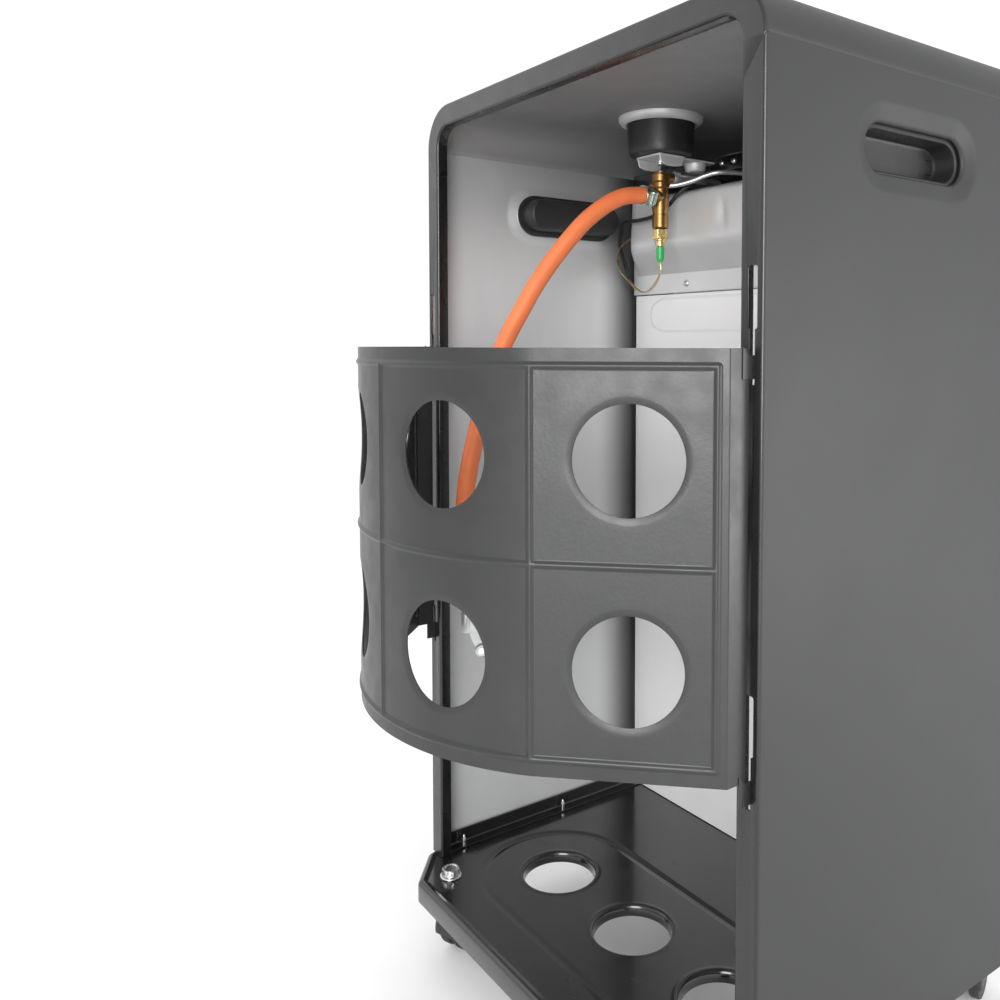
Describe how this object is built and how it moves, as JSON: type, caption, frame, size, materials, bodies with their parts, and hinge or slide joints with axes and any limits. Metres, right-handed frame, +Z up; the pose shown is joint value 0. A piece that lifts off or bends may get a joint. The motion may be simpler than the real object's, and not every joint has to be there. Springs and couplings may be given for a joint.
{
  "type": "cabinet gas heater",
  "caption": "Mobile outdoor cabinet gas heater with an open bottle bay, curved pierced bottle guard, carry grips, hose and regulator, control knob and swivel castors.",
  "frame": {"origin": "centre of the footprint on the ground, under the castors", "axes": "+Z up, -Y towards the burner at the front, +Y towards the open bottle bay and its guard, +X to the user's right when facing +Y"},
  "size_m": [0.42, 0.4986, 0.7752],
  "materials": {
    "cabinet_paint": "satin charcoal powder coat",
    "black_enamel": "semi-gloss black enamel",
    "black_plastic": "moulded, slightly satin",
    "black_rubber": "silicone sleeve, satin",
    "galvanised": "plain galvanised sheet",
    "aluminium": "drawn and die cast, plain",
    "brass": "turned brass",
    "zinc": "bright zinc plated",
    "chrome": "bright plated",
    "ceramic": "unglazed pierced ceramic",
    "hose_rubber": "orange gas hose, satin",
    "green_plastic": "moulded, gloss"
  },
  "bodies": {
    "cabinet": {"side_panel_left": "cabinet_paint", "side_panel_right": "cabinet_paint", "top_panel": "cabinet_paint", "handle_cup_left": "black_plastic", "handle_cup_right": "black_plastic", "floor_tray": "black_enamel", "inner_panel": "galvanised", "heat_shield": "galvanised", "cross_rail": "black_enamel", "front_fascia": "cabinet_paint", "front_lower_panel": "cabinet_paint", "burner_reflector": "chrome", "burner_box": "galvanised", "ceramic_plaque_1": "ceramic", "ceramic_plaque_2": "ceramic", "ceramic_plaque_3": "ceramic", "burner_venturi": "galvanised", "wire_guard": "chrome", "pilot_burner": "galvanised", "spark_electrode": "ceramic", "control_bowl": "black_plastic", "bowl_collar": "galvanised", "valve_bracket": "galvanised", "valve_body": "brass", "magnet_nut": "brass", "magnet_plug": "green_plastic", "burner_feed_pipe": "aluminium", "thermocouple_wire": "aluminium", "ignition_lead": "black_rubber", "piezo_igniter": "black_plastic", "gas_hose": "hose_rubber", "valve_hose_clamp": "zinc", "regulator_hose_clamp": "zinc", "regulator_body": "aluminium", "regulator_cover": "aluminium", "regulator_coupling": "brass", "castor_rear_left_bolt": "zinc", "castor_rear_right_bolt": "zinc", "castor_front_left_bolt": "zinc", "castor_front_right_bolt": "zinc"},
    "guard": {"bottle_guard": "black_enamel"},
    "spindle": {"valve_spindle": "zinc"},
    "knob": {"control_knob": "black_plastic"},
    "regulator_lever": {"regulator_tap": "black_plastic"},
    "castor_rear_left": {"castor_rear_left_hood": "black_plastic"},
    "wheels_rear_left": {"castor_rear_left_wheels": "black_plastic"},
    "brake_rear_left": {"castor_rear_left_brake": "black_plastic"},
    "castor_rear_right": {"castor_rear_right_hood": "black_plastic"},
    "wheels_rear_right": {"castor_rear_right_wheels": "black_plastic"},
    "brake_rear_right": {"castor_rear_right_brake": "black_plastic"},
    "castor_front_left": {"castor_front_left_hood": "black_plastic"},
    "wheels_front_left": {"castor_front_left_wheels": "black_plastic"},
    "castor_front_right": {"castor_front_right_hood": "black_plastic"},
    "wheels_front_right": {"castor_front_right_wheels": "black_plastic"}
  },
  "joints": [
    {"name": "guard_lift", "type": "slide", "parent": "cabinet", "child": "guard", "axis": [0, 0, 1], "range_m": [0, 0.03]},
    {"name": "knob_push", "type": "slide", "parent": "cabinet", "child": "spindle", "axis": [0, 0, -1], "range_m": [0, 0.005], "stiffness_N_per_m": 900},
    {"name": "knob_turn", "type": "hinge", "parent": "spindle", "child": "knob", "pos_m": [0.093, -0.07367, 0.757], "axis": [0, 0, 1], "range_deg": [0, 240]},
    {"name": "regulator_lever_turn", "type": "hinge", "parent": "cabinet", "child": "regulator_lever", "pos_m": [0.08443, 0.10275, 0.3142], "axis": [-0.7925, 0.6099, 0], "range_deg": [0, 90]},
    {"name": "swivel_rear_left", "type": "hinge", "parent": "cabinet", "child": "castor_rear_left", "pos_m": [-0.16, 0.11433, 0.06], "axis": [0, 0, 1], "continuous": true},
    {"name": "spin_rear_left", "type": "hinge", "parent": "castor_rear_left", "child": "wheels_rear_left", "pos_m": [-0.15384, 0.09742, 0.022], "axis": [0.9397, 0.342, 0], "continuous": true},
    {"name": "brake_rear_left_tilt", "type": "hinge", "parent": "castor_rear_left", "child": "brake_rear_left", "pos_m": [-0.14413, 0.07073, 0.0286], "axis": [0.9397, 0.342, 0], "range_deg": [0, 25]},
    {"name": "swivel_rear_right", "type": "hinge", "parent": "cabinet", "child": "castor_rear_right", "pos_m": [0.16, 0.11433, 0.06], "axis": [0, 0, 1], "continuous": true},
    {"name": "spin_rear_right", "type": "hinge", "parent": "castor_rear_right", "child": "wheels_rear_right", "pos_m": [0.16616, 0.09742, 0.022], "axis": [0.9397, 0.342, 0], "continuous": true},
    {"name": "brake_rear_right_tilt", "type": "hinge", "parent": "castor_rear_right", "child": "brake_rear_right", "pos_m": [0.17587, 0.07073, 0.0286], "axis": [0.9397, 0.342, 0], "range_deg": [0, 25]},
    {"name": "swivel_front_left", "type": "hinge", "parent": "cabinet", "child": "castor_front_left", "pos_m": [-0.16, -0.19767, 0.06], "axis": [0, 0, 1], "continuous": true},
    {"name": "spin_front_left", "type": "hinge", "parent": "castor_front_left", "child": "wheels_front_left", "pos_m": [-0.15384, -0.21458, 0.022], "axis": [0.9397, 0.342, 0], "continuous": true},
    {"name": "swivel_front_right", "type": "hinge", "parent": "cabinet", "child": "castor_front_right", "pos_m": [0.16, -0.19767, 0.06], "axis": [0, 0, 1], "continuous": true},
    {"name": "spin_front_right", "type": "hinge", "parent": "castor_front_right", "child": "wheels_front_right", "pos_m": [0.16616, -0.21458, 0.022], "axis": [0.9397, 0.342, 0], "continuous": true}
  ]
}
